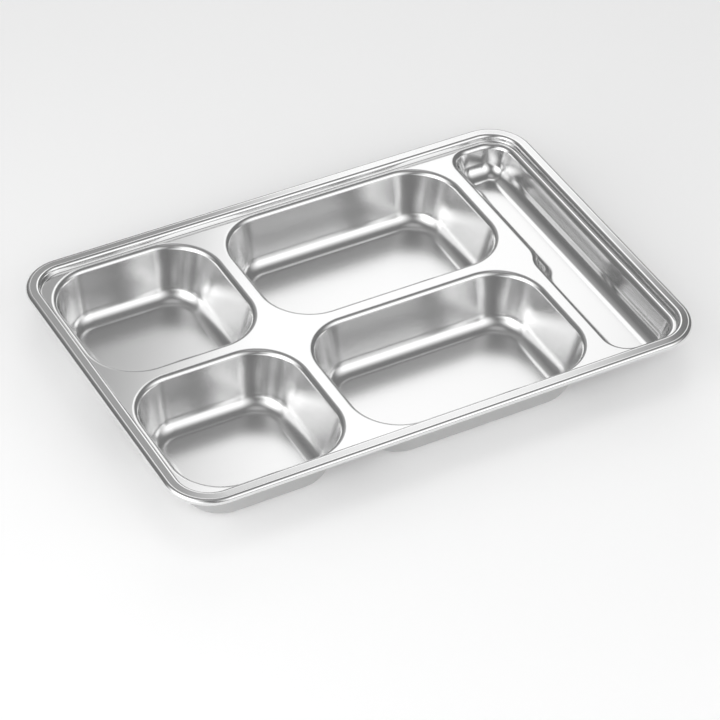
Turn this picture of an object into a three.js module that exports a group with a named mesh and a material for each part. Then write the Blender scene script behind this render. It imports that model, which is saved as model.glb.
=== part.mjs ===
// Five-compartment serving tray, drawn from one sheet of stainless steel.
// Millimetres, +Z up. The origin is on the table, under the middle of the tray.
// The sheet is divided along its forming lines into regions that meet at fine seams.
import * as THREE from 'three';

const degrees = Math.PI / 180;

// Whole tray, measured over the curled edge
const trayLength = 400;
const trayWidth = 270;
const trayCornerRadius = 32;
const sheetThickness = 0.7;

// Curled edge: it rises a little from the crease beside the rim, then rolls outward, down and back under
const curlRadius = 2.6;
const curlAngle = 250 * degrees;
const curlRise = 10 * degrees;

// Rim, from the curl's crest to the crest of the lid seat; it falls outward to the crease
const rimWidth = 4.65;
const rimSlope = 5 * degrees;

// Step inside the rim that seats a lid
const seatDepth = 5;
const seatEdgeRadius = 2.8;
const seatFootRadius = 0.9;
const seatDraft = 5 * degrees;

// Deck: the strip left beside the lid seat, and the ribs between compartments
const edgeStrip = 0.47;
const centreRib = 6;
const leftRib = 6;
const rightRib = 5.5;

// Four food wells
const wellDepth = 39.3;
const wellCornerRadius = 38;
const wellMouthRadius = 4.4;
const wellFloorRadius = 13;
const wellDraft = 15 * degrees;
const leftWellLength = 126.8;

// Cutlery channel along the right end, with a wider front part for spoon bowls
const channelDepth = 22;
const channelRibCornerRadius = 19;
const channelMouthRadius = 4.4;
const channelFloorRadius = 13;
const channelDraft = 15 * degrees;
const channelRearWidth = 51.6;
const channelWidening = 5;
const channelStepLength = 20;
const channelStepPlace = -8;
const channelRearSpread = 0.4;

// Seam between neighbouring regions of the sheet
const seamGap = 0.3;

// Facets of round stretches, and the smallest corner that an inset outline keeps
const cornerFacets = 8;
const stepFacets = 4;
const bendFacets = 4;
const curlFacets = 14;
const leastCornerRadius = 0.5;

// Points of an arc in the plan, without rounding the last point away
function arcPoints(centreX, centreY, radius, fromAngle, toAngle, facets) {
  const points = [];
  for (let i = 0; i <= facets; i += 1) {
    const angle = fromAngle + ((toAngle - fromAngle) * i) / facets;
    points.push(new THREE.Vector2(centreX + radius * Math.cos(angle), centreY + radius * Math.sin(angle)));
  }
  return points;
}

// A rounded rectangle as a function of how far its line is moved inward
function roundedOutline({ left, right, front, rear, cornerRadius }) {
  return (inset) => {
    const radius = Math.max(cornerRadius - inset, leastCornerRadius);
    const x0 = left + inset + radius;
    const x1 = right - inset - radius;
    const y0 = front + inset + radius;
    const y1 = rear - inset - radius;
    return [
      ...arcPoints(x1, y1, radius, 0, 90 * degrees, cornerFacets),
      ...arcPoints(x0, y1, radius, 90 * degrees, 180 * degrees, cornerFacets),
      ...arcPoints(x0, y0, radius, 180 * degrees, 270 * degrees, cornerFacets),
      ...arcPoints(x1, y0, radius, 270 * degrees, 360 * degrees, cornerFacets),
    ];
  };
}

// The channel's outline in two open lines that meet at the front end of the S in its left side.
// The rear part's mouth is rounded more broadly beside the rib, so the S deepens over the mouth.
function channelOutlines({
  left, right, front, rear, ribRadius, endRadius, widening, stepLength, stepPlace, mouthRadius, spread,
}) {
  return (inset) => {
    const swell = spread * Math.min(Math.max(inset, 0), mouthRadius);
    const step = widening + swell;
    const turn = 2 * Math.atan2(step, stepLength);
    const bend = stepLength / (2 * Math.sin(turn));
    const radius = Math.max(ribRadius - inset, leastCornerRadius);
    const endBend = Math.max(endRadius - inset, leastCornerRadius);
    const rearLeft = left + inset + swell;
    const frontLeft = left - widening + inset;
    const rearX = rearLeft + radius;
    const frontX = frontLeft + radius;
    const endX = right - inset - endBend;
    const frontY = front + inset;
    const rearY = rear - inset;
    const stepRear = stepPlace + stepLength / 2;
    const stepFront = stepPlace - stepLength / 2;
    const shoulder = arcPoints(rearLeft - bend, stepRear, bend, 0, -turn, stepFacets);
    const hollow = arcPoints(
      frontLeft + bend,
      stepFront,
      bend,
      180 * degrees - turn,
      180 * degrees,
      stepFacets,
    );
    const rearLine = [
      new THREE.Vector2(right - inset, stepFront),
      ...arcPoints(endX, rearY - endBend, endBend, 0, 90 * degrees, cornerFacets),
      ...arcPoints(rearX, rearY - radius, radius, 90 * degrees, 180 * degrees, cornerFacets),
      ...shoulder,
      ...hollow,
    ];
    const frontLine = [
      new THREE.Vector2(frontLeft, stepFront - seamGap),
      ...arcPoints(frontX, frontY + radius, radius, 180 * degrees, 270 * degrees, cornerFacets),
      ...arcPoints(endX, frontY + endBend, endBend, 270 * degrees, 360 * degrees, cornerFacets),
      new THREE.Vector2(right - inset, stepFront - seamGap),
    ];
    return { rearLine, frontLine };
  };
}

// Section of a drawn wall: rounded edge, drafted wall and rounded foot, as inset and drop from its crest.
// lead is the slope at which the sheet comes up to the crest.
// skin is 0 for the upper face and the sheet's thickness for the underside.
function drawnSection({ depth, edgeRadius, footRadius, draft, lead = 0 }, skin) {
  const sweep = 90 * degrees - draft;
  const bendDrop = 1 - Math.sin(draft);
  const wallDrop = depth - (edgeRadius + footRadius) * bendDrop;
  const footInset = (edgeRadius + footRadius) * Math.cos(draft) + wallDrop * Math.tan(draft);
  const edge = [];
  const foot = [];
  for (let i = 0; i <= bendFacets; i += 1) {
    const edgeAngle = ((sweep + lead) * i) / bendFacets - lead;
    const footAngle = (sweep * (bendFacets - i)) / bendFacets;
    edge.push({
      inset: (edgeRadius - skin) * Math.sin(edgeAngle),
      drop: edgeRadius - (edgeRadius - skin) * Math.cos(edgeAngle),
    });
    foot.push({
      inset: footInset - (footRadius + skin) * Math.sin(footAngle),
      drop: depth - footRadius + (footRadius + skin) * Math.cos(footAngle),
    });
  }
  return [...edge, ...foot];
}

// One closed body made of rings of points and the bands between them
class SheetBody {
  positions = [];
  triangles = [];

  ring(points, z) {
    const first = this.positions.length / 3;
    points.forEach((point) => this.positions.push(point.x, point.y, z));
    return points.map((_, i) => first + i);
  }

  // Seen from outside the body, the second ring lies to the left of the first.
  // An open band leaves out the stretch from the last point back to the first.
  band(from, to, isOpen = false) {
    from.slice(isOpen ? 1 : 0).forEach((_, i) => {
      const next = (i + 1) % from.length;
      this.triangles.push(from[i], from[next], to[next]);
      this.triangles.push(from[i], to[next], to[i]);
    });
  }

  bands(rings, isOpen = false) {
    rings.slice(1).forEach((ring, i) => this.band(rings[i], ring, isOpen));
  }

  // A flat face inside a ring, less its holes: level, or upright across Y, where facing up means facing front
  face(ring, holes, facesUp, isUpright = false) {
    const corners = [ring, ...holes].flat();
    const second = isUpright ? 2 : 1;
    const plan = (i) => new THREE.Vector2(this.positions[3 * i], this.positions[3 * i + second]);
    const outer = ring.map(plan);
    const inner = holes.map((hole) => hole.map(plan));
    THREE.ShapeUtils.triangulateShape(outer, inner).forEach((triple) => {
      const triangle = triple.map((i) => corners[i]);
      const isUp = !THREE.ShapeUtils.isClockWise(triangle.map(plan));
      this.triangles.push(...(isUp === facesUp ? triangle : triangle.reverse()));
    });
  }

  geometry() {
    const geometry = new THREE.BufferGeometry();
    geometry.setAttribute('position', new THREE.Float32BufferAttribute(this.positions, 3));
    geometry.setIndex(this.triangles);
    geometry.computeVertexNormals();
    return geometry;
  }
}

// Rings of a drawn wall, from the foot of its underside, over its upper edge, to the foot of its upper face
function drawnRings(body, outline, section) {
  const upper = drawnSection(section, 0);
  const under = drawnSection(section, sheetThickness).reverse();
  return [...under, ...upper].map(({ inset, drop }) => body.ring(outline(inset), -drop));
}

// One part of a trough that is divided by a plane square to Y: wall, floor and the cut across the sheet
function troughPartGeometry(outline, section, facesFront) {
  const body = new SheetBody();
  const rings = drawnRings(body, outline, section);
  const firstEnd = rings.map((ring) => ring[0]);
  const lastEnd = rings.map((ring) => ring.at(-1));
  body.bands(rings, true);
  body.face(rings[0], [], false);
  body.face(rings.at(-1), [], true);
  body.face([...firstEnd, ...lastEnd.reverse()], [], facesFront, true);
  return body.geometry();
}

// A compartment: drawn wall and flat floor
function compartmentGeometry(outline, section) {
  const body = new SheetBody();
  const rings = drawnRings(body, outline, section);
  body.bands(rings);
  body.face(rings[0], [], false);
  body.face(rings.at(-1), [], true);
  return body.geometry();
}

// The lid seat's step and the deck inside it, pierced where the compartments join
function deckGeometry(outline, section, mouths) {
  const body = new SheetBody();
  const rings = drawnRings(body, outline, section);
  const upperHoles = mouths.map((mouth) => body.ring(mouth(-seamGap), -section.depth));
  const underHoles = mouths.map((mouth) => body.ring(mouth(-seamGap), -section.depth - sheetThickness));
  body.bands(rings);
  body.face(rings[0], underHoles, false);
  body.face(rings.at(-1), upperHoles, true);
  upperHoles.forEach((hole, i) => body.band(hole, underHoles[i]));
  return body.geometry();
}

// The rim between the crease and the lid seat, with one slope from edge to edge
function rimGeometry(outline, outer, inner, slope) {
  const body = new SheetBody();
  const ring = ({ inset, drop }, skin) =>
    body.ring(outline(inset + skin * Math.sin(slope)), -drop - skin * Math.cos(slope));
  const rings = [ring(outer, 0), ring(inner, 0), ring(inner, sheetThickness), ring(outer, sheetThickness)];
  body.bands([...rings, rings[0]]);
  return body.geometry();
}

// The curled edge: the sheet bent round a small open hollow
function curlGeometry(outline, crestDrop) {
  const body = new SheetBody();
  const bent = (radius) => {
    const points = [];
    for (let i = 0; i <= curlFacets; i += 1) {
      const angle = ((curlAngle + curlRise) * i) / curlFacets - curlRise;
      points.push({
        inset: curlRadius - radius * Math.sin(angle),
        drop: crestDrop + curlRadius - radius * Math.cos(angle),
      });
    }
    return points;
  };
  const section = [...bent(curlRadius).reverse(), ...bent(curlRadius - sheetThickness)];
  const rings = section.map(({ inset, drop }) => body.ring(outline(inset), -drop));
  body.bands([...rings, rings[0]]);
  return body.geometry();
}

// Heights above the table
const deckHeight = wellDepth + sheetThickness;
const rimHeight = deckHeight + seatDepth;

// Sections of the three kinds of drawn wall
const seatSection = {
  depth: seatDepth,
  edgeRadius: seatEdgeRadius,
  footRadius: seatFootRadius,
  draft: seatDraft,
  lead: rimSlope,
};
const wellSection = {
  depth: wellDepth,
  edgeRadius: wellMouthRadius,
  footRadius: wellFloorRadius,
  draft: wellDraft,
};
const channelSection = {
  depth: channelDepth,
  edgeRadius: channelMouthRadius,
  footRadius: channelFloorRadius,
  draft: channelDraft,
};

// Plan of the compartments, worked inward from the tray's edge
const seatInset = curlRadius + rimWidth;
const seatRun = drawnSection(seatSection, 0).at(-1).inset;
const mouthInset = seatInset + seatRun + edgeStrip;
const mouthRight = trayLength / 2 - mouthInset;
const mouthLeft = -mouthRight;
const mouthRear = trayWidth / 2 - mouthInset;
const mouthFront = -mouthRear;
const leftWellRight = mouthLeft + leftWellLength;
const middleLeft = leftWellRight + leftRib;
const channelLeft = mouthRight - channelRearWidth;
const rearMiddleRight = channelLeft - rightRib;
const frontMiddleRight = rearMiddleRight - channelWidening;

const trayEdge = roundedOutline({
  left: -trayLength / 2,
  right: trayLength / 2,
  front: -trayWidth / 2,
  rear: trayWidth / 2,
  cornerRadius: trayCornerRadius,
});
const seatEdge = (inset) => trayEdge(seatInset + inset);

const rearRow = { front: centreRib / 2, rear: mouthRear, cornerRadius: wellCornerRadius };
const frontRow = { front: mouthFront, rear: -centreRib / 2, cornerRadius: wellCornerRadius };
const wellMouths = {
  rear_left_well: roundedOutline({ left: mouthLeft, right: leftWellRight, ...rearRow }),
  front_left_well: roundedOutline({ left: mouthLeft, right: leftWellRight, ...frontRow }),
  rear_middle_well: roundedOutline({ left: middleLeft, right: rearMiddleRight, ...rearRow }),
  front_middle_well: roundedOutline({ left: middleLeft, right: frontMiddleRight, ...frontRow }),
};
const channelLines = channelOutlines({
  left: channelLeft,
  right: mouthRight,
  front: mouthFront,
  rear: mouthRear,
  ribRadius: channelRibCornerRadius,
  endRadius: trayCornerRadius - mouthInset,
  widening: channelWidening,
  stepLength: channelStepLength,
  stepPlace: channelStepPlace,
  mouthRadius: channelMouthRadius,
  spread: channelRearSpread,
});
const channelRear = (inset) => channelLines(inset).rearLine;
const channelFront = (inset) => channelLines(inset).frontLine;
const channelMouth = (inset) => [...channelRear(inset).slice(1), ...channelFront(inset).slice(1, -1)];

// Upper line of the rim's section, and the curl's crest at the outer end of it
const rimInnerInset = seatInset - seatEdgeRadius * Math.sin(rimSlope);
const rimInnerDrop = seatEdgeRadius * (1 - Math.cos(rimSlope));
const rimOuterInset = curlRadius * (1 + Math.sin(curlRise));
const rimPoint = (inset) => ({ inset, drop: rimInnerDrop + (rimInnerInset - inset) * Math.tan(rimSlope) });
const curlCrestDrop = rimPoint(rimOuterInset).drop - curlRadius * (1 - Math.cos(curlRise));

// Satin stainless steel, a little lighter where the sheet lies flat
function satinSteel(colour, roughness) {
  return new THREE.MeshStandardMaterial({ color: colour, roughness, metalness: 1 });
}

function region(name, geometry, material, height) {
  const mesh = new THREE.Mesh(geometry, material);
  mesh.name = name;
  mesh.position.z = height;
  return mesh;
}

const tray = new THREE.Group();
tray.add(
  region('curled_edge', curlGeometry(trayEdge, curlCrestDrop), satinSteel(0xc4c6c8, 0.25), rimHeight),
);
tray.add(
  region(
    'rim_flange',
    rimGeometry(trayEdge, rimPoint(rimOuterInset + seamGap), rimPoint(rimInnerInset - seamGap), rimSlope),
    satinSteel(0xd0d2d4, 0.25),
    rimHeight,
  ),
);
tray.add(
  region(
    'deck_and_lid_seat',
    deckGeometry(seatEdge, seatSection, [...Object.values(wellMouths), channelMouth]),
    satinSteel(0xd4d6d8, 0.3),
    rimHeight,
  ),
);
Object.entries(wellMouths).forEach(([name, mouth]) => {
  tray.add(region(name, compartmentGeometry(mouth, wellSection), satinSteel(0xc8cacc, 0.3), deckHeight));
});
tray.add(
  region(
    'cutlery_channel_rear',
    troughPartGeometry(channelRear, channelSection, true),
    satinSteel(0xc8cacc, 0.3),
    deckHeight,
  ),
);
tray.add(
  region(
    'cutlery_channel_front',
    troughPartGeometry(channelFront, channelSection, false),
    satinSteel(0xc8cacc, 0.3),
    deckHeight,
  ),
);

export default tray;
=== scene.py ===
import math
from typing import NamedTuple

import bpy
from bpy.props import FloatProperty, FloatVectorProperty, PointerProperty
from mathutils import Matrix, Vector
from mathutils.geometry import tessellate_polygon


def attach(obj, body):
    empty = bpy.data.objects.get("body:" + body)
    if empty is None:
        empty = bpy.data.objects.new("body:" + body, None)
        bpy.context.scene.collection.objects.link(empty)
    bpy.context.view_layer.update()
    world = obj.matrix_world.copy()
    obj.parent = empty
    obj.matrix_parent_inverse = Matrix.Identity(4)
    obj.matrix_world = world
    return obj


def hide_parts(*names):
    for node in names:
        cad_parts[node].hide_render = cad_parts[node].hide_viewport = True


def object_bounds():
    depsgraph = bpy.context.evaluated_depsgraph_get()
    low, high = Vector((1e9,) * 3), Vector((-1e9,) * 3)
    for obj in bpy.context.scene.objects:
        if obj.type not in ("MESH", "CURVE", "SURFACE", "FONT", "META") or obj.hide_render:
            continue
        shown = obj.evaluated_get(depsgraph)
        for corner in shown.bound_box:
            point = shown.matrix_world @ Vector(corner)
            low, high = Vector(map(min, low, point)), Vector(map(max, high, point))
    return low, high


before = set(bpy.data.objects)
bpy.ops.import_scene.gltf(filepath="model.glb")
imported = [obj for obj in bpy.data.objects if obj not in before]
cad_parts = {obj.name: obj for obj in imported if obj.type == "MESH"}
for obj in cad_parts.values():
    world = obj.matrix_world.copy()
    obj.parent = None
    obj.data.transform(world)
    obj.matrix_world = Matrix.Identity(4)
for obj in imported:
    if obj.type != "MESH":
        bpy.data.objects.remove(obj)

bl_info = {
    "name": "Compartment tray",
    "version": (1, 0, 0),
    "blender": (4, 5, 0),
    "location": "View3D > Sidebar > Tray",
    "description": "Pressed stainless steel tray with food wells and a cutlery channel",
    "category": "Add Mesh",
}

CAD_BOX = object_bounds()
CAD_SIZE = CAD_BOX[1] - CAD_BOX[0]
MM = 0.001

# Facets of the round stretches: plan corners, the channel's S, upper and lower bends, and the curl
CORNER_FACETS = 24
STEP_FACETS = 10
EDGE_FACETS = 10
FOOT_FACETS = 16
CURL_FACETS = 28

# A plan corner gets no tighter than this when its outline is moved inward
LEAST_RADIUS = 0.5 * MM

# Slopes at which a cut through the sheet faces the inside and the outside of its outline
INWARD, OUTWARD = math.pi / 2, -math.pi / 2

# Material slots of a region: the side that shows, and the underside, where a darker grey is painted
# shade
SHOW_SIDE, SHADED_UNDERSIDE = 0, 1

# Grain of the rolled sheet, coarser than the real one so that it shows
GRAIN_LENGTH = 20 * MM
GRAIN_BREADTH = 0.5 * MM

# Slight waviness that pressing leaves in flat sheet
WAVE_LENGTH = 60 * MM
WAVE_HEIGHT = 0.08 * MM


def length_property(label, about, default):
    """A size of the tray, in metres."""
    return FloatProperty(name=label, description=about, default=default, unit="LENGTH", precision=5)


def angle_property(label, about, degrees):
    """A slope of the sheet, shown in degrees."""
    return FloatProperty(name=label, description=about, default=math.radians(degrees), subtype="ANGLE")


def share_property(label, about, default):
    """A plain number from 0 to 1, of a shape, a finish or a light."""
    return FloatProperty(name=label, description=about, default=default, min=0.0, max=1.0)


def linear(code):
    """Linear colour of an sRGB hex value."""
    channels = [int(code[i:i + 2], 16) / 255 for i in (1, 3, 5)]
    return [c / 12.92 if c <= 0.04045 else ((c + 0.055) / 1.055) ** 2.4 for c in channels]


def colour_property(label, about, code):
    """A colour given as an sRGB hex value."""
    return FloatVectorProperty(
        name=label, description=about, default=linear(code), subtype="COLOR", min=0.0, max=1.0
    )


class TraySizes(bpy.types.PropertyGroup):
    """Sizes of the pressed sheet."""

    length: length_property("Length", "Over the curled edge", CAD_SIZE.x)
    width: length_property("Width", "Over the curled edge", CAD_SIZE.y)
    height: length_property("Height", "From the table to the top of the rim", CAD_SIZE.z)
    corner: length_property("Corner radius", "Plan corner of the curled edge", 32 * MM)
    sheet: length_property("Sheet", "Thickness of the steel", 0.7 * MM)
    curl: length_property("Curl radius", "Outside radius of the rolled edge", 2.6 * MM)
    curl_turn: angle_property("Curl turn", "How far the edge is rolled", 250)
    curl_rise: angle_property("Curl rise", "Turn of the curl before its crest", 10)
    rim: length_property("Rim", "From the curl's crest to the crest of the lid seat", 4.65 * MM)
    rim_slope: angle_property("Rim slope", "Fall of the rim towards the curl", 5)
    seat_depth: length_property("Lid seat depth", "Step from the rim to the deck", 5 * MM)
    seat_edge: length_property("Lid seat edge", "Bend at the top of the step", 2.8 * MM)
    seat_foot: length_property("Lid seat foot", "Bend at the foot of the step", 0.9 * MM)
    seat_draft: angle_property("Lid seat draft", "Slope of the step", 5)
    draft: angle_property("Draft", "Slope of the compartments' walls", 15)
    strip: length_property("Edge strip", "Deck beside the lid seat", 0.47 * MM)
    centre_rib: length_property("Centre rib", "Deck between the rows", 6 * MM)
    left_rib: length_property("Left rib", "Deck beside the left wells", 6 * MM)
    right_rib: length_property("Right rib", "Deck beside the channel", 5.5 * MM)
    mouth: length_property("Mouth bend", "Rounded mouth of a compartment", 4.4 * MM)
    floor_bend: length_property("Floor bend", "Rounded foot of a wall", 13 * MM)
    well_corner: length_property("Well corner", "Plan corner of a well's mouth", 38 * MM)
    left_well: length_property("Left well", "Length of a left well", 126.8 * MM)
    channel_depth: length_property("Channel depth", "Below the deck", 22 * MM)
    channel_width: length_property("Channel width", "Rear part of the mouth", 51.6 * MM)
    channel_corner: length_property("Channel corner", "Plan corner at the rib", 19 * MM)
    widening: length_property("Widening", "Extra width of the channel's front part", 5 * MM)
    step_length: length_property("Step length", "Length of the channel's S", 20 * MM)
    step_place: length_property("Step place", "Middle of the channel's S", -8 * MM)
    rear_spread: share_property("Rear spread", "Extra breadth of the rear part's bend at the rib", 0.4)

    @property
    def deck_height(self):
        return self.height - self.seat_depth

    @property
    def well_depth(self):
        return self.deck_height - self.sheet

    @property
    def seat_inset(self):
        return self.curl + self.rim

    @property
    def mouth_inset(self):
        return self.seat_inset + self.seat_bends().reach + self.strip

    def rim_edges(self):
        """Inset and drop of the rim's upper face at the curl and at the lid seat."""
        inner = self.seat_inset - self.seat_edge * math.sin(self.rim_slope)
        outer = self.curl + self.curl * math.sin(self.curl_rise)
        drop = self.seat_edge * (1 - math.cos(self.rim_slope))
        return (outer, drop + (inner - outer) * math.tan(self.rim_slope)), (inner, drop)

    def seat_bends(self):
        return DrawnWall(
            self.seat_depth, self.seat_edge, self.seat_foot, self.seat_draft, self.rim_slope
        )

    def well_bends(self):
        return DrawnWall(self.well_depth, self.mouth, self.floor_bend, self.draft)

    def channel_bends(self):
        return DrawnWall(self.channel_depth, self.mouth, self.floor_bend, self.draft)


class SteelFinish(bpy.types.PropertyGroup):
    """Finish of the sheet, and the darker grey of its underside, which is painted shade."""

    colour: colour_property("Steel", "Colour of the bare metal", "#E8E8E8")
    sheet_roughness: share_property("Sheet roughness", "Blur of the satin as rolled", 0.16)
    drawn_roughness: share_property("Drawn roughness", "Blur where deep drawing has dulled it", 0.22)
    # Darker than the steel: painted shade on the underside, standing in for the shadowed floor that it
    # mirrors
    outside: colour_property("Outside", "Colour of the sheet's underside", "#C8C8C8")
    outside_roughness: share_property("Outside roughness", "Blur of the underside", 0.3)
    roughness_spread: share_property("Roughness spread", "How uneven the satin is", 0.012)


class StudioLight(bpy.types.PropertyGroup):
    """Floor and light of the studio."""

    floor: colour_property("Floor", "Matt paper floor", "#F0F0F0")
    floor_roughness: share_property("Floor roughness", "Blur of the paper", 0.9)
    floor_glow: share_property("Floor glow", "Light that the floor adds of its own", 0.12)
    low: share_property("Low", "Brightness of the room around the tray", 0.2)
    high: share_property("High", "Brightness of the room straight overhead", 0.5)
    overhead: share_property("Overhead", "Sine of the elevation where the room starts to brighten", 0.95)


def arc(centre_x, centre_y, radius, start, end, facets, sense):
    """Points of a plan arc, each with the direction towards the inside of its outline."""
    line = []
    for i in range(facets + 1):
        angle = start + (end - start) * i / facets
        spoke = Vector((math.cos(angle), math.sin(angle)))
        line.append((Vector((centre_x, centre_y)) + radius * spoke, sense * spoke))
    return line


def rounded_outline(left, right, front, rear, corner):
    """A rounded rectangle as a function of how far its line is moved inward."""

    def outline(inset):
        radius = max(corner - inset, LEAST_RADIUS)
        x0, x1 = left + inset + radius, right - inset - radius
        y0, y1 = front + inset + radius, rear - inset - radius
        line = []
        for quarter, (x, y) in enumerate(((x1, y1), (x0, y1), (x0, y0), (x1, y0))):
            start = quarter * math.pi / 2
            line += arc(x, y, radius, start, start + math.pi / 2, CORNER_FACETS, -1)
        return line

    return outline


def channel_outline(sizes, left, right, front, rear):
    """The channel's outline, with an S in its left side that deepens over the rounded mouth."""
    end_corner = sizes.corner - sizes.mouth_inset
    half = sizes.step_length / 2
    quarter = math.pi / 2

    def outline(inset):
        swell = sizes.rear_spread * min(max(inset, 0), sizes.mouth)
        turn = 2 * math.atan2(sizes.widening + swell, sizes.step_length)
        bend = half / math.sin(turn)
        rib = max(sizes.channel_corner - inset, LEAST_RADIUS)
        end = max(end_corner - inset, LEAST_RADIUS)
        rear_left = left + inset + swell
        front_left = left - sizes.widening + inset
        end_x = right - inset - end
        y0, y1 = front + inset, rear - inset
        shoulder_y, hollow_y = sizes.step_place + half, sizes.step_place - half
        line = arc(end_x, y1 - end, end, 0, quarter, CORNER_FACETS, -1)
        line += arc(rear_left + rib, y1 - rib, rib, quarter, 2 * quarter, CORNER_FACETS, -1)
        line += arc(rear_left - bend, shoulder_y, bend, 0, -turn, STEP_FACETS, 1)
        line += arc(front_left + bend, hollow_y, bend, math.pi - turn, math.pi, STEP_FACETS, -1)
        line += arc(front_left + rib, y0 + rib, rib, 2 * quarter, 3 * quarter, CORNER_FACETS, -1)
        line += arc(end_x, y0 + end, end, 3 * quarter, 4 * quarter, CORNER_FACETS, -1)
        return line

    return outline


class DrawnWall:
    """Section of a drawn wall: rounded edge, drafted wall and rounded foot."""

    def __init__(self, depth, edge, foot, draft, lead=0.0):
        self.depth = depth
        self.edge = edge
        self.foot = foot
        self.sweep = math.pi / 2 - draft
        self.lead = lead
        fall = depth - (edge + foot) * (1 - math.sin(draft))
        self.reach = (edge + foot) * math.cos(draft) + fall * math.tan(draft)

    def section(self, skin):
        """Inset, drop and slope along the wall; skin is 0 above and the sheet's thickness below."""
        line = []
        radius = self.edge - skin
        for i in range(EDGE_FACETS + 1):
            lean = (self.sweep + self.lead) * i / EDGE_FACETS - self.lead
            line.append((radius * math.sin(lean), self.edge - radius * math.cos(lean), lean))
        radius = self.foot + skin
        for i in range(FOOT_FACETS + 1):
            lean = self.sweep * (1 - i / FOOT_FACETS)
            drop = self.depth - self.foot + radius * math.cos(lean)
            line.append((self.reach - radius * math.sin(lean), drop, lean))
        return line


def facing(inward, lean):
    """Direction square to the sheet where it slopes by a lean towards the inside of its outline."""
    tilt = inward * math.sin(lean)
    return Vector((tilt.x, tilt.y, math.cos(lean)))


class SheetRegion:
    """A region of the sheet: points, faces, each face's material slot, and normals at its corners."""

    def __init__(self):
        self.points = []
        self.faces = []
        self.slots = []
        self.normals = []

    def ring(self, line, height, lean, side):
        """A ring of points; lean is the sheet's slope there, side is 1 above and -1 below."""
        corners = []
        for place, inward in line:
            self.points.append((place.x, place.y, height))
            corners.append((len(self.points) - 1, side * facing(inward, lean)))
        return corners

    def face(self, corners, slot=SHOW_SIDE):
        """A face through corners, each a point's index with the normal there."""
        self.faces.append([index for index, _ in corners])
        self.slots.append(slot)
        self.normals += [normal for _, normal in corners]

    def band(self, first, second, slot=SHOW_SIDE):
        """Faces between two rings."""
        count = len(first)
        for i in range(count):
            j = (i + 1) % count
            self.face([first[i], first[j], second[j], second[i]], slot)

    def bands(self, rings, slot=SHOW_SIDE):
        """Faces between each ring and the next."""
        for first, second in zip(rings, rings[1:]):
            self.band(first, second, slot)

    def edge(self, first, second, line, lean):
        """Faces across the sheet's thickness, where it is cut."""
        normals = [facing(inward, lean) for _, inward in line]
        self.band(
            [(index, normal) for (index, _), normal in zip(first, normals)],
            [(index, normal) for (index, _), normal in zip(second, normals)],
        )

    def cover(self, ring, holes, side):
        """A flat face inside a ring, less its holes."""
        loops = [[index for index, _ in loop] for loop in (ring, *holes)]
        flat = [index for loop in loops for index in loop]
        normal = Vector((0, 0, side))
        slot = SHOW_SIDE if side > 0 else SHADED_UNDERSIDE
        shapes = [[Vector(self.points[index]) for index in loop] for loop in loops]
        for triple in tessellate_polygon(shapes):
            corners = [flat[i] for i in triple]
            a, b, c = (Vector(self.points[index]) for index in corners)
            if (b - a).cross(c - a).z * side < 0:
                corners.reverse()
            self.face([(index, normal) for index in corners], slot)

    def drawn(self, outline, bends, sheet, top):
        """Rings of a drawn wall's upper face and underside, joined at its upper edge."""
        upper = [
            self.ring(outline(inset), top - drop, lean, 1)
            for inset, drop, lean in bends.section(0)
        ]
        under = [
            self.ring(outline(inset), top - drop, lean, -1)
            for inset, drop, lean in bends.section(sheet)
        ]
        self.bands(upper)
        self.bands(under[::-1], SHADED_UNDERSIDE)
        self.edge(under[0], upper[0], outline(0), OUTWARD)
        return upper[-1], under[-1]

    def piece(self, name, material, *nodes):
        """The finished piece, riding on the tray in place of its plain solids."""
        mesh = bpy.data.meshes.new(name)
        mesh.from_pydata(self.points, [], self.faces)
        mesh.shade_smooth()
        mesh.normals_split_custom_set(self.normals)
        mesh.materials.append(material)
        # Faces in the second slot get the darker grey of painted shade on the underside
        if SHADED_UNDERSIDE in self.slots:
            mesh.materials.append(shaded_underside_steel())
            mesh.polygons.foreach_set("material_index", self.slots)
        piece = bpy.data.objects.new(name, mesh)
        bpy.context.scene.collection.objects.link(piece)
        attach(piece, "root")
        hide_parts(*nodes)


def add_node(tree, kind, links=None, **settings):
    """Adds a node, sets its values and inputs, and links its inputs."""
    node = tree.nodes.new(kind)
    for key, value in settings.items():
        if hasattr(node, key):
            setattr(node, key, value)
        else:
            node.inputs[key].default_value = value
    for socket, source in (links or {}).items():
        tree.links.new(source, node.inputs[socket])
    return node


def satin_steel(name, colour, roughness):
    """Cold rolled stainless steel: bright satin that blurs what it mirrors."""
    if name in bpy.data.materials:
        return bpy.data.materials[name]
    material = bpy.data.materials.new(name)
    material.use_nodes = True
    tree = material.node_tree
    shader = tree.nodes["Principled BSDF"]
    shader.inputs["Base Color"].default_value = (*colour, 1)
    shader.inputs["Metallic"].default_value = 1
    place = add_node(tree, "ShaderNodeTexCoord")
    # The grain makes the satin a little clearer and duller by turns
    grain_place = add_node(
        tree, "ShaderNodeMapping", {"Vector": place.outputs["Object"]},
        Scale=(1 / GRAIN_LENGTH, 1 / GRAIN_BREADTH, 1 / GRAIN_BREADTH),
    )
    grain = add_node(
        tree, "ShaderNodeTexNoise", {"Vector": grain_place.outputs["Vector"]}, Scale=1.0, Detail=2.0
    )
    spread = bpy.context.scene.tray_finish.roughness_spread
    satin = add_node(
        tree, "ShaderNodeMapRange", {"Value": grain.outputs["Fac"]},
        **{"To Min": roughness - spread, "To Max": roughness + spread},
    )
    tree.links.new(satin.outputs["Result"], shader.inputs["Roughness"])
    # The waviness bends what the flat sheet mirrors
    wave = add_node(
        tree, "ShaderNodeTexNoise", {"Vector": place.outputs["Object"]},
        Scale=1 / WAVE_LENGTH, Detail=1.0,
    )
    bump = add_node(
        tree, "ShaderNodeBump", {"Height": wave.outputs["Fac"]}, Strength=1.0, Distance=WAVE_HEIGHT
    )
    tree.links.new(bump.outputs["Normal"], shader.inputs["Normal"])
    return material


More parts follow.
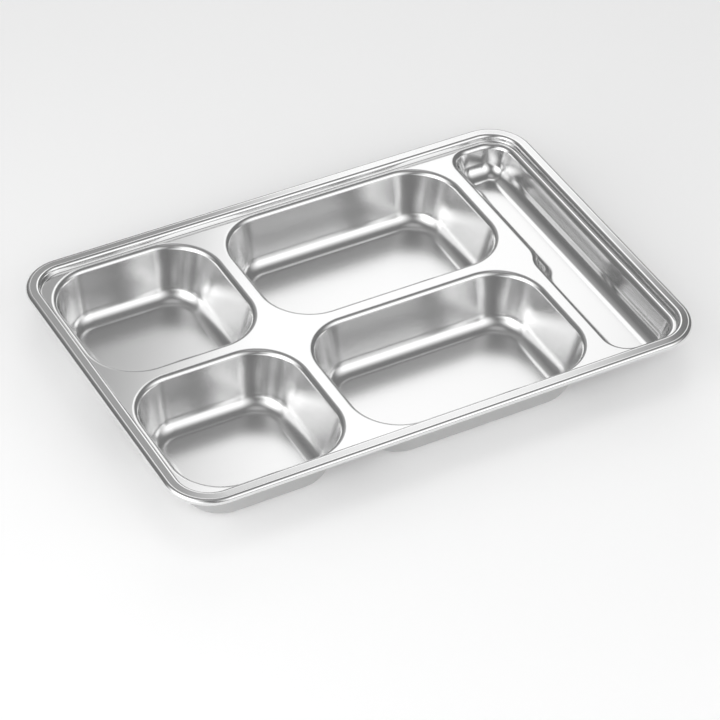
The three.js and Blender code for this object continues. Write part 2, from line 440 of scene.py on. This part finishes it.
def sheet_steel():
    """The sheet as rolled: clear enough to show thin lines along its bends."""
    finish = bpy.context.scene.tray_finish
    return satin_steel("satin stainless steel, as rolled", finish.colour, finish.sheet_roughness)


def drawn_steel():
    """The sheet where deep drawing has dulled it: soft shades without lines."""
    finish = bpy.context.scene.tray_finish
    return satin_steel("satin stainless steel, deep drawn", finish.colour, finish.drawn_roughness)


def shaded_underside_steel():
    """The underside: greyer, which is painted shade, and duller, taken to be as the die left it."""
    finish = bpy.context.scene.tray_finish
    return satin_steel("satin stainless steel, underside with painted shade", finish.outside, finish.outside_roughness)


def mouth_outlines(sizes):
    """Mouths of the compartments by node, worked inward from the tray's edge."""
    right = sizes.length / 2 - sizes.mouth_inset
    rear = sizes.width / 2 - sizes.mouth_inset
    left_end = -right + sizes.left_well
    middle = left_end + sizes.left_rib
    channel = right - sizes.channel_width
    rear_end = channel - sizes.right_rib
    front_end = rear_end - sizes.widening
    rows = {"rear": (sizes.centre_rib / 2, rear), "front": (-rear, -sizes.centre_rib / 2)}
    ends = {"rear": rear_end, "front": front_end}
    mouths = {}
    for row, span in rows.items():
        mouths[f"{row}_left_well"] = rounded_outline(-right, left_end, *span, sizes.well_corner)
        mouths[f"{row}_middle_well"] = rounded_outline(middle, ends[row], *span, sizes.well_corner)
    mouths["cutlery_channel"] = channel_outline(sizes, channel, right, -rear, rear)
    return mouths


def tray_outline(sizes):
    """The tray's plan over the curled edge."""
    x, y = sizes.length / 2, sizes.width / 2
    return rounded_outline(-x, x, -y, y, sizes.corner)


class TRAY_OT_curled_edge(bpy.types.Operator):
    """Roll the edge of the sheet outward, down and back under the rim"""

    bl_idname = "tray.curled_edge"
    bl_label = "Curled edge"

    def execute(self, context):
        sizes = context.scene.tray_sizes
        outline = tray_outline(sizes)
        region = SheetRegion()
        skins = []
        start = -sizes.curl_rise
        crest = sizes.height - sizes.rim_edges()[0][1] + sizes.curl * (1 - math.cos(start))
        for radius, side in ((sizes.curl, 1), (sizes.curl - sizes.sheet, -1)):
            rings = []
            for i in range(CURL_FACETS + 1):
                turn = start + (sizes.curl_turn - start) * i / CURL_FACETS
                line = outline(sizes.curl - radius * math.sin(turn))
                height = crest - sizes.curl + radius * math.cos(turn)
                rings.append(region.ring(line, height, -turn, side))
            skins.append(rings)
        outer, inner = skins
        region.bands(outer[::-1])
        region.bands(inner)
        line = outline(sizes.curl)
        region.edge(outer[0], inner[0], line, INWARD)
        # The far end of the curl faces onward along its turn, up into the hollow under the rim
        region.edge(inner[-1], outer[-1], line, OUTWARD - sizes.curl_turn)
        region.piece("curled_edge_sheet", sheet_steel(), "curled_edge")
        return {"FINISHED"}


class TRAY_OT_rim(bpy.types.Operator):
    """Lay the rim between the curled edge and the lid seat"""

    bl_idname = "tray.rim"
    bl_label = "Rim"

    def execute(self, context):
        sizes = context.scene.tray_sizes
        outline = tray_outline(sizes)
        region = SheetRegion()
        slope = sizes.rim_slope
        skins = []
        for skin, side in ((0, 1), (sizes.sheet, -1)):
            rings = []
            for inset, drop in sizes.rim_edges():
                line = outline(inset + skin * math.sin(slope))
                height = sizes.height - drop - skin * math.cos(slope)
                rings.append(region.ring(line, height, -slope, side))
            skins.append(rings)
        upper, under = skins
        outer, inner = (outline(inset) for inset, _ in sizes.rim_edges())
        region.bands(upper)
        region.bands(under[::-1], SHADED_UNDERSIDE)
        region.edge(under[0], upper[0], outer, OUTWARD)
        region.edge(upper[1], under[1], inner, INWARD)
        region.piece("rim_flange_sheet", sheet_steel(), "rim_flange")
        return {"FINISHED"}


class TRAY_OT_deck(bpy.types.Operator):
    """Press the lid seat and the deck, open where the compartments join"""

    bl_idname = "tray.deck"
    bl_label = "Lid seat and deck"

    def execute(self, context):
        sizes = context.scene.tray_sizes
        edge = tray_outline(sizes)
        region = SheetRegion()
        upper, under = region.drawn(
            lambda inset: edge(sizes.seat_inset + inset), sizes.seat_bends(), sizes.sheet, sizes.height
        )
        lines = [mouth(0) for mouth in mouth_outlines(sizes).values()]
        above = [region.ring(line, sizes.deck_height, 0, 1) for line in lines]
        below = [region.ring(line, sizes.deck_height - sizes.sheet, 0, -1) for line in lines]
        region.cover(upper, above, 1)
        region.cover(under, below, -1)
        for line, top, bottom in zip(lines, above, below):
            region.edge(top, bottom, line, INWARD)
        region.piece("deck_and_lid_seat_sheet", sheet_steel(), "deck_and_lid_seat")
        return {"FINISHED"}


def draw_compartment(sizes, name, bends, steel, *nodes):
    """A compartment: drawn wall and flat floor."""
    region = SheetRegion()
    outline = mouth_outlines(sizes)[name]
    upper, under = region.drawn(outline, bends, sizes.sheet, sizes.deck_height)
    region.cover(upper, (), 1)
    region.cover(under, (), -1)
    region.piece(f"{name}_sheet", steel, *nodes)


class TRAY_OT_wells(bpy.types.Operator):
    """Draw the four food wells"""

    bl_idname = "tray.wells"
    bl_label = "Food wells"

    def execute(self, context):
        sizes = context.scene.tray_sizes
        for name in ("rear_left_well", "front_left_well", "rear_middle_well", "front_middle_well"):
            draw_compartment(sizes, name, sizes.well_bends(), drawn_steel(), name)
        return {"FINISHED"}


class TRAY_OT_channel(bpy.types.Operator):
    """Draw the cutlery channel along the right end"""

    bl_idname = "tray.channel"
    bl_label = "Cutlery channel"

    def execute(self, context):
        sizes = context.scene.tray_sizes
        draw_compartment(
            sizes, "cutlery_channel", sizes.channel_bends(), sheet_steel(),
            "cutlery_channel_rear", "cutlery_channel_front",
        )
        return {"FINISHED"}


def bearing(azimuth, elevation):
    """Unit vector at an azimuth from +Y towards +X and an elevation, in degrees."""
    a, e = math.radians(azimuth), math.radians(elevation)
    return Vector((math.sin(a) * math.cos(e), math.cos(a) * math.cos(e), math.sin(e)))


class Softbox(NamedTuple):
    """A rectangular light that faces the tray: angles in degrees, lengths in metres."""

    name: str
    azimuth: float
    elevation: float
    distance: float
    width: float
    height: float
    brightness: float
    # Share of the cloth that fades towards its edges
    fading: float = 1.0
    # Whether the steel mirrors the cloth; a light that it does not mirror shows on the floor alone
    mirrored: bool = True


SOFTBOXES = (
    Softbox("left softbox", -97, 38, 1.4, 2.4, 1.9, 1.9),
    Softbox("rear softbox", 36, 40, 1.4, 0.78, 1.3, 1.0, fading=0.5),
    Softbox("rear left softbox", 10, 45, 1.4, 1.6, 2.2, 0.22),
    Softbox("front softbox", 152, 34, 1.4, 2.4, 2.3, 1.4),
    Softbox("low softbox", -112, 11, 1.4, 3.6, 1.2, 1.9),
    Softbox("overhead softbox", 0, 90, 2.0, 1.4, 1.4, 2.5, mirrored=False),
    Softbox("fill softbox", -149, 41, 5.0, 3.3, 3.3, 9.2, mirrored=False),
)


def studio_world(light):
    """A dim room, brighter straight overhead."""
    world = bpy.data.worlds.new("dim studio")
    world.use_nodes = True
    tree = world.node_tree
    place = add_node(tree, "ShaderNodeTexCoord")
    height = add_node(tree, "ShaderNodeSeparateXYZ", {"Vector": place.outputs["Generated"]})
    room = add_node(
        tree, "ShaderNodeMapRange", {"Value": height.outputs["Z"]}, interpolation_type="SMOOTHSTEP",
        **{"From Min": light.overhead, "To Min": light.low, "To Max": light.high},
    )
    background = tree.nodes["Background"]
    background.inputs["Color"].default_value = (1, 1, 1, 1)
    tree.links.new(room.outputs["Result"], background.inputs["Strength"])
    return world


def hang_softbox(scene, box):
    """A softbox in its place, with a cloth that fades towards its edges."""
    light = bpy.data.lights.new(box.name, "AREA")
    light.shape = "RECTANGLE"
    light.size = box.width
    light.size_y = box.height
    # Watts that give the middle of the cloth the wanted radiance
    light.energy = box.brightness * math.pi * box.width * box.height
    light.use_nodes = True
    tree = light.node_tree
    cloth = add_node(tree, "ShaderNodeNewGeometry").outputs["Parametric"]
    centred = add_node(tree, "ShaderNodeVectorMath", {0: cloth}, operation="SUBTRACT")
    centred.inputs[1].default_value = (0.5, 0.5, 0)
    away = add_node(tree, "ShaderNodeVectorMath", {0: centred.outputs[0]}, operation="ABSOLUTE")
    sides = add_node(tree, "ShaderNodeSeparateXYZ", {0: away.outputs[0]})
    plain = (1 - box.fading) / 2
    fades = [
        add_node(
            tree, "ShaderNodeMapRange", {"Value": sides.outputs[axis]}, interpolation_type="SMOOTHSTEP",
            **{"From Min": plain, "From Max": 0.5, "To Min": 1.0, "To Max": 0.0},
        )
        for axis in ("X", "Y")
    ]
    glow = add_node(
        tree, "ShaderNodeMath", {i: fade.outputs["Result"] for i, fade in enumerate(fades)},
        operation="MULTIPLY",
    )
    tree.links.new(glow.outputs[0], tree.nodes["Emission"].inputs["Strength"])
    lamp = bpy.data.objects.new(box.name, light)
    back = bearing(box.azimuth, box.elevation)
    lamp.location = back * box.distance
    lamp.rotation_euler = (-back).to_track_quat("-Z", "Y").to_euler()
    lamp.visible_camera = False
    lamp.visible_glossy = box.mirrored
    scene.collection.objects.link(lamp)


# The floor reaches far past the view, and lies just clear of the wells so that no two faces meet
FLOOR_REACH = 12.0
FLOOR_DROP = 0.2 * MM


def matt_paper(light):
    """Uncoated white paper: matt all over, so that it shows a soft shadow and hardly a reflection."""
    material = bpy.data.materials.new("matt paper")
    material.use_nodes = True
    shader = material.node_tree.nodes["Principled BSDF"]
    shader.inputs["Base Color"].default_value = (*light.floor, 1)
    shader.inputs["Roughness"].default_value = light.floor_roughness
    shader.inputs["Emission Color"].default_value = (1, 1, 1, 1)
    shader.inputs["Emission Strength"].default_value = light.floor_glow
    return material


def lay_floor(scene, light):
    """The paper floor that the tray stands on."""
    near, far = -FLOOR_REACH, FLOOR_REACH
    mesh = bpy.data.meshes.new("floor")
    mesh.from_pydata(
        [(near, near, 0), (far, near, 0), (far, far, 0), (near, far, 0)], [], [(0, 1, 2, 3)]
    )
    mesh.materials.append(matt_paper(light))
    floor = bpy.data.objects.new("floor", mesh)
    floor.location.z = -FLOOR_DROP
    scene.collection.objects.link(floor)


# The photograph's camera, worked out from the tray's straight lines: the point it aims at and its
# distance in metres, its angles in degrees, and its lens and sensor in millimetres
CAMERA_AIM = Vector((-29.168, -54.265, 45.0)) * MM
CAMERA_DISTANCE = 2191.55 * MM
CAMERA_AZIMUTH = -149.2007
CAMERA_ELEVATION = 40.8337
CAMERA_ROLL = 2.795
CAMERA_LENS = 163.194
CAMERA_SENSOR = 36
# How far it sees, in metres: past the floor's edge
CAMERA_REACH = 100


def aim_camera(scene):
    """The photograph's view: from the front left, well above the tray."""
    camera = bpy.data.cameras.new("camera")
    camera.lens = CAMERA_LENS
    camera.sensor_width = CAMERA_SENSOR
    camera.clip_end = CAMERA_REACH
    view = bpy.data.objects.new("camera", camera)
    back = bearing(CAMERA_AZIMUTH, CAMERA_ELEVATION)
    turn = (-back).to_track_quat("-Z", "Y").to_matrix().to_4x4()
    roll = Matrix.Rotation(math.radians(CAMERA_ROLL), 4, "Z")
    view.matrix_world = Matrix.Translation(CAMERA_AIM + back * CAMERA_DISTANCE) @ (turn @ roll)
    scene.collection.objects.link(view)
    scene.camera = view


class TRAY_OT_stage(bpy.types.Operator):
    """Set the floor, the light and the camera"""

    bl_idname = "tray.stage"
    bl_label = "Stage"

    def execute(self, context):
        scene = context.scene
        light = scene.tray_light
        scene.world = studio_world(light)
        for box in SOFTBOXES:
            hang_softbox(scene, box)
        scene.view_settings.view_transform = "Standard"
        lay_floor(scene, light)
        aim_camera(scene)
        return {"FINISHED"}


class TRAY_PT_panel(bpy.types.Panel):
    """Lists the tray's pieces, sizes, finishes and light"""

    bl_label = "Compartment tray"
    bl_idname = "TRAY_PT_panel"
    bl_space_type = "VIEW_3D"
    bl_region_type = "UI"
    bl_category = "Tray"

    def draw(self, context):
        layout = self.layout
        for step in STEPS:
            layout.operator(step.bl_idname)
        for group in (context.scene.tray_sizes, context.scene.tray_finish, context.scene.tray_light):
            column = layout.column()
            for name in type(group).__annotations__:
                column.prop(group, name)


STEPS = (
    TRAY_OT_curled_edge,
    TRAY_OT_rim,
    TRAY_OT_deck,
    TRAY_OT_wells,
    TRAY_OT_channel,
    TRAY_OT_stage,
)
CLASSES = (TraySizes, SteelFinish, StudioLight, *STEPS, TRAY_PT_panel)


def register():
    for entry in CLASSES:
        bpy.utils.register_class(entry)
    bpy.types.Scene.tray_sizes = PointerProperty(type=TraySizes)
    bpy.types.Scene.tray_finish = PointerProperty(type=SteelFinish)
    bpy.types.Scene.tray_light = PointerProperty(type=StudioLight)


def unregister():
    del bpy.types.Scene.tray_light
    del bpy.types.Scene.tray_finish
    del bpy.types.Scene.tray_sizes
    for entry in reversed(CLASSES):
        bpy.utils.unregister_class(entry)


def main():
    """Builds the tray on its stage."""
    register()
    bpy.ops.tray.curled_edge()
    bpy.ops.tray.rim()
    bpy.ops.tray.deck()
    bpy.ops.tray.wells()
    bpy.ops.tray.channel()
    bpy.ops.tray.stage()


if __name__ == "__main__":
    main()
